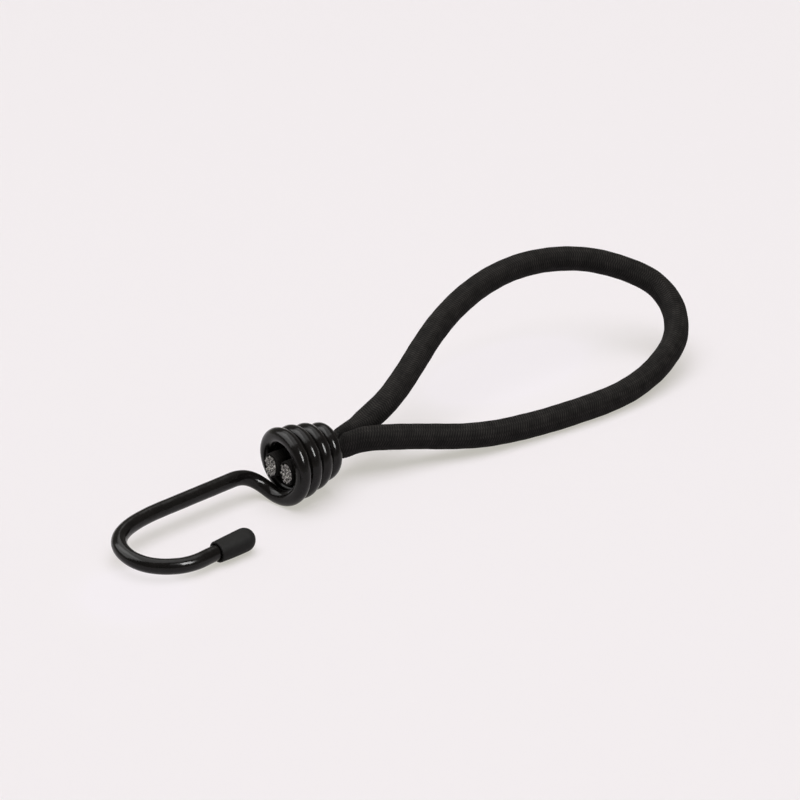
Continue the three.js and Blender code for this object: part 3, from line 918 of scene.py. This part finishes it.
def braid_finish(cord):
    """Black braid: painted shade that darkens the gaps and leaves the crests paler, from the surface's own
    height, uneven yarns, and fine threads that run round the cord."""
    finish = Finish("black_braid")
    height = finish.node("ShaderNodeAttribute")
    height.attribute_name = "yarn_height"
    worn = finish.noise(finish.object_place(), 260.0, 5.0)
    threads = finish.noise(finish.surface_place(40.0, 9000.0), 1.0, 3.0)
    # Painted shade: the ramp darkens the braid to about a tenth of the yarn colour in its gaps and gives the
    # full colour on its crests
    yarn = finish.ramp(
        height.outputs["Fac"],
        (0.45, scaled(cord.yarn, 0.12)), (0.7, scaled(cord.yarn, 0.4)), (0.95, cord.yarn))
    tone = finish.spread(worn, 0.3, 0.7, 0.55, 1.45)
    finish.shade(
        Base_Color=finish.toned(yarn, tone),
        Roughness=finish.spread(threads, 0.3, 0.7, 0.7, 0.9),
        Specular_IOR_Level=0.1,
        Normal=finish.bump(threads, 0.00004),
    )
    return finish.material


def rubber_finish(strands):
    """Off-white rubber: mottled, chalky and slightly pitted."""
    finish = Finish("white_strand_rubber")
    place = finish.object_place()
    mottle = finish.noise(place, 1300.0, 4.0)
    pits = finish.noise(place, 2300.0, 2.0)
    chalk = finish.ramp(
        pits,
        (0.4, scaled(strands.rubber, 0.05)), (0.47, scaled(strands.rubber, 0.55)), (0.58, strands.rubber))
    finish.shade(
        Base_Color=finish.toned(chalk, finish.spread(mottle, 0.3, 0.7, 0.5, 1.2)),
        Roughness=finish.spread(pits, 0.3, 0.7, 0.65, 0.85),
        Specular_IOR_Level=0.3,
        Normal=finish.bump(pits, 0.00008),
    )
    return finish.material


def clip_finish(clip):
    """Drawn steel wire: fine lines along it and uneven gloss."""
    finish = Finish("drawn_clip_steel")
    lines = finish.noise(finish.surface_place(90.0, 120.0), 1.0, 4.0)
    finish.shade(
        Base_Color=finish.ramp(lines, (0.3, scaled(clip.steel, 0.8)), (0.7, clip.steel)),
        Roughness=finish.spread(lines, 0.3, 0.7, 0.28, 0.45),
        Metallic=1.0,
        Normal=finish.bump(lines, 0.00001),
    )
    return finish.material


def floor_finish(stage):
    """Pale matt floor with the faintest clouding. What the camera sees of it, straight or in a gloss, is
    partly its own even colour, which glows, so that the object's shadows on it stay soft; in two patches,
    inside the loop and in front of the bend, a larger share of that glow is painted light that washes out
    most of the shadow. Less of its light reaches the underside of the object than it shows."""
    finish = Finish("pale_floor")
    clouds = finish.noise(finish.object_place(), 3.0)
    pale = finish.ramp(clouds, (0.2, scaled(stage.floor, 0.997)), (0.8, stage.floor))
    rays = finish.node("ShaderNodeLightPath").outputs
    bounce = finish.spread(rays["Is Diffuse Ray"], 0.0, 1.0, 1.0, 0.55)
    finish.shade(Base_Color=finish.toned(pale, bounce), Roughness=0.95, Specular_IOR_Level=0.05)
    mirrored = finish.sum(rays["Is Glossy Ray"], rays["Is Transmission Ray"])
    seen = finish.sum(rays["Is Camera Ray"], mirrored)
    # Painted light: the two patches raise the glowing share and wash out the object's shadow there
    painted_light_patches = finish.sum(finish.patch(*LOOP_PAINTED_LIGHT), finish.patch(*BEND_PAINTED_LIGHT))
    shade = finish.ramp(painted_light_patches, (0.0, stage.even), (PAINTED_LIGHT_FULL, stage.clear))
    even = finish.node("ShaderNodeEmission", Color=shade, Strength=1.0)
    evenness = finish.spread(painted_light_patches, 0.0, PAINTED_LIGHT_FULL, stage.evenness, stage.open_evenness)
    both = finish.node("ShaderNodeMixShader", Fac=finish.spread(seen, 0.0, 1.0, 0.0, evenness))
    finish.tree.links.new(finish.shader.outputs["BSDF"], both.inputs[1])
    finish.tree.links.new(even.outputs["Emission"], both.inputs[2])
    finish.tree.links.new(both.outputs["Shader"], finish.tree.nodes["Material Output"].inputs["Surface"])
    return finish.material


# Stage

def add_lamp(name, azimuth, elevation, width, height, radiance, distance=2.4, in_gloss=True, in_matt=True):
    """A flat soft lamp that faces the object. Its size and its place, azimuth from +X towards +Y and
    elevation from the floor, are in degrees. Its power follows from its area and the brightness of its
    face. It may show in gloss alone, as a lit card does, or light matt surfaces alone."""
    data = bpy.data.lights.new(name, "AREA")
    data.shape = "RECTANGLE"
    data.size = 2 * distance * math.tan(math.radians(width) / 2)
    data.size_y = 2 * distance * math.tan(math.radians(height) / 2)
    data.energy = radiance * math.pi * data.size * data.size_y
    turn, lift = math.radians(azimuth), math.radians(elevation)
    flat = math.cos(lift)
    direction = Vector((flat * math.cos(turn), flat * math.sin(turn), math.sin(lift)))
    lamp = add_object(name, data)
    lamp.location = LAMP_AIM + direction * distance
    lamp.rotation_euler = (LAMP_AIM - lamp.location).to_track_quat("-Z", "Y").to_euler()
    lamp.visible_diffuse = in_matt
    lamp.visible_glossy = in_gloss


def set_world(stage):
    """Surroundings by height: half as pale as the floor at the horizon, then dim."""
    world = bpy.data.worlds.new("studio")
    bpy.context.scene.world = world
    world.use_nodes = True
    nodes, links = world.node_tree.nodes, world.node_tree.links
    place = nodes.new("ShaderNodeTexCoord")
    parts = nodes.new("ShaderNodeSeparateXYZ")
    ramp = nodes.new("ShaderNodeValToRGB")
    links.new(place.outputs["Generated"], parts.inputs["Vector"])
    links.new(parts.outputs["Z"], ramp.inputs["Fac"])
    links.new(ramp.outputs["Color"], nodes["Background"].inputs["Color"])
    elements = ramp.color_ramp.elements
    elements[0].position = 0.02
    elements[0].color = (*scaled(stage.even, 0.55), 1.0)
    elements[1].position = 0.2
    elements[1].color = (*stage.overhead, 1.0)


def set_camera(stage):
    """Camera by turn, tilt and distance, so that the coil's mouth falls at its pixels beside the middle."""
    turn, tilt = stage.camera_turn, stage.camera_tilt
    right = Vector((math.cos(turn), -math.sin(turn), 0.0))
    forward = Vector((
        math.sin(turn) * math.cos(tilt), math.cos(turn) * math.cos(tilt), -math.sin(tilt)))
    up = right.cross(forward)
    focal = PICTURE_WIDTH * stage.lens / SENSOR_WIDTH
    aim = Vector(stage.aim)
    data = bpy.data.cameras.new("photo_camera")
    data.lens = stage.lens
    data.sensor_width = SENSOR_WIDTH
    data.clip_end = 100.0
    camera = add_object("photo_camera", data)
    camera.matrix_world = Matrix((right, up, -forward)).transposed().to_4x4()
    beside = right * (MOUTH_LEFT / focal) + up * (MOUTH_BELOW / focal)
    camera.location = aim - stage.camera_distance * (forward - beside)
    bpy.context.scene.camera = camera


def floor_surface(stage, cells=24):
    """The floor: a flat square grid of x and y at height 0."""
    steps = np.linspace(-stage.floor_size / 2, stage.floor_size / 2, cells + 1)
    x, y = np.meshgrid(steps, steps, indexing="ij")
    points = np.stack([x, y, np.zeros_like(x)], axis=-1).reshape(-1, 3)
    corner = (np.arange(cells)[:, None] * (cells + 1) + np.arange(cells)[None, :]).ravel()
    faces = np.stack([corner, corner + cells + 1, corner + cells + 2, corner + 1], axis=-1)
    return points, faces


# Operators

def stretch_across(piece):
    """Bakes a piece's transform into its mesh data."""
    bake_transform(piece)


class BUNGEE_OT_set_stage(bpy.types.Operator):
    """Add the pale floor, the soft lights, the surroundings and the camera"""
    bl_idname = "bungee.set_stage"
    bl_label = "Set stage"

    def execute(self, context):
        stage = context.scene.bungee.stage
        set_camera(stage)
        points, faces = floor_surface(stage)
        mesh = bpy.data.meshes.new("studio_floor")
        mesh.from_pydata(points.tolist(), [], faces.tolist())
        mesh.materials.append(floor_finish(stage))
        floor = add_object("studio_floor", mesh)
        add_lamp("top_softbox", 90, 90, 56, 56, 3.05, in_gloss=False)
        add_lamp("back_softbox", 85, 72, 60, 56, 1.7, in_matt=False)
        add_lamp("side_softbox", 135, 46, 50, 50, 3.0, in_matt=False)
        add_lamp("front_strip", -101, 42, 15, 24, 28.0, distance=0.26, in_matt=False)
        set_world(stage)
        context.scene.view_settings.view_transform = "Standard"
        return {"FINISHED"}


class BUNGEE_OT_add_cord_sheath(bpy.types.Operator):
    """Add the braided sheath from one cut end to the other"""
    bl_idname = "bungee.add_cord_sheath"
    bl_label = "Add cord sheath"

    def execute(self, context):
        settings = context.scene.bungee
        points, lengths, yarn, centre = sheath_surface(settings)
        material = braid_finish(settings.cord)
        sheath = grid_piece("braided_sheath", material, points, lengths, attributes={"yarn_height": yarn})
        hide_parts("cord_sheath")
        stretch_across(sheath)
        return {"FINISHED"}


class BUNGEE_OT_add_rubber_strands(bpy.types.Operator):
    """Add the rubber strands inside the sheath, with their cut ends in the mouth of the coil"""
    bl_idname = "bungee.add_rubber_strands"
    bl_label = "Add rubber strands"

    def execute(self, context):
        settings = context.scene.bungee
        places = strand_places(settings.strands)
        if len(places) != len(STRAND_NODES):
            raise RuntimeError("The strands in the settings don't match the strands of the packed part")
        cuts = np.random.default_rng(CUT_SEED).uniform(-1.0, 1.0, (len(places), 4)) * CUT_SPREAD
        material = rubber_finish(settings.strands)
        for node, place, cut in zip(STRAND_NODES, places, cuts):
            strand = grid_piece(node + "_cut", material, *strand_surface(settings, place, cut))
            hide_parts(node)
            stretch_across(strand)
        return {"FINISHED"}


class BUNGEE_OT_add_end_clip(bpy.types.Operator):
    """Add the wire clip that binds the two legs inside the coil"""
    bl_idname = "bungee.add_end_clip"
    bl_label = "Add end clip"

    def execute(self, context):
        settings = context.scene.bungee
        clip = grid_piece("end_clip_wire", clip_finish(settings.clip), *clip_surface(settings))
        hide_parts("end_clip")
        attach(clip, "cord_ends")
        return {"FINISHED"}


class BUNGEE_OT_add_hook_wire(bpy.types.Operator):
    """Add the coated wire: coil, sweep, arm, bend and tip"""
    bl_idname = "bungee.add_hook_wire"
    bl_label = "Add hook wire"

    def execute(self, context):
        hook = context.scene.bungee.hook
        wire = grid_piece("coated_hook_wire", coated_finish(hook), *wire_surface(hook))
        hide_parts("hook_wire")
        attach(wire, "hook")
        return {"FINISHED"}


class BUNGEE_OT_add_tip_cap(bpy.types.Operator):
    """Add the soft cap on the tip of the hook"""
    bl_idname = "bungee.add_tip_cap"
    bl_label = "Add tip cap"

    def execute(self, context):
        settings = context.scene.bungee
        surface = cap_surface(settings.hook, settings.cap)
        cap = grid_piece("soft_tip_cap", cap_finish(settings.cap), *surface)
        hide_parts("tip_cap")
        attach(cap, "hook")
        return {"FINISHED"}


class BUNGEE_PT_sidebar(bpy.types.Panel):
    """Sizes, colours and pieces of the bungee cord"""
    bl_idname = "BUNGEE_PT_sidebar"
    bl_label = "Bungee cord"
    bl_space_type = "VIEW_3D"
    bl_region_type = "UI"
    bl_category = "Bungee cord"

    def draw(self, context):
        settings = context.scene.bungee
        for part in ("hook", "cap", "cord", "strands", "clip", "stage"):
            group = getattr(settings, part)
            column = self.layout.box().column(align=True)
            column.label(text=group.bl_rna.description)
            for name in group.__annotations__:
                column.prop(group, name)
        column = self.layout.column(align=True)
        for operator in OPERATORS:
            column.operator(operator.bl_idname)


OPERATORS = (
    BUNGEE_OT_set_stage,
    BUNGEE_OT_add_cord_sheath,
    BUNGEE_OT_add_rubber_strands,
    BUNGEE_OT_add_end_clip,
    BUNGEE_OT_add_hook_wire,
    BUNGEE_OT_add_tip_cap,
)

CLASSES = (
    HookSettings,
    CapSettings,
    CordSettings,
    StrandSettings,
    ClipSettings,
    StageSettings,
    BungeeSettings,
    *OPERATORS,
    BUNGEE_PT_sidebar,
)


def register():
    for cls in CLASSES:
        bpy.utils.register_class(cls)
    bpy.types.Scene.bungee = bpy.props.PointerProperty(
        type=BungeeSettings, name="Bungee cord", description="Sizes and colours of the bungee cord")


def unregister():
    del bpy.types.Scene.bungee
    for cls in reversed(CLASSES):
        bpy.utils.unregister_class(cls)


def main():
    register()
    bpy.ops.bungee.set_stage()
    bpy.ops.bungee.add_cord_sheath()
    bpy.ops.bungee.add_rubber_strands()
    bpy.ops.bungee.add_end_clip()
    bpy.ops.bungee.add_hook_wire()
    bpy.ops.bungee.add_tip_cap()


if __name__ == "__main__":
    main()
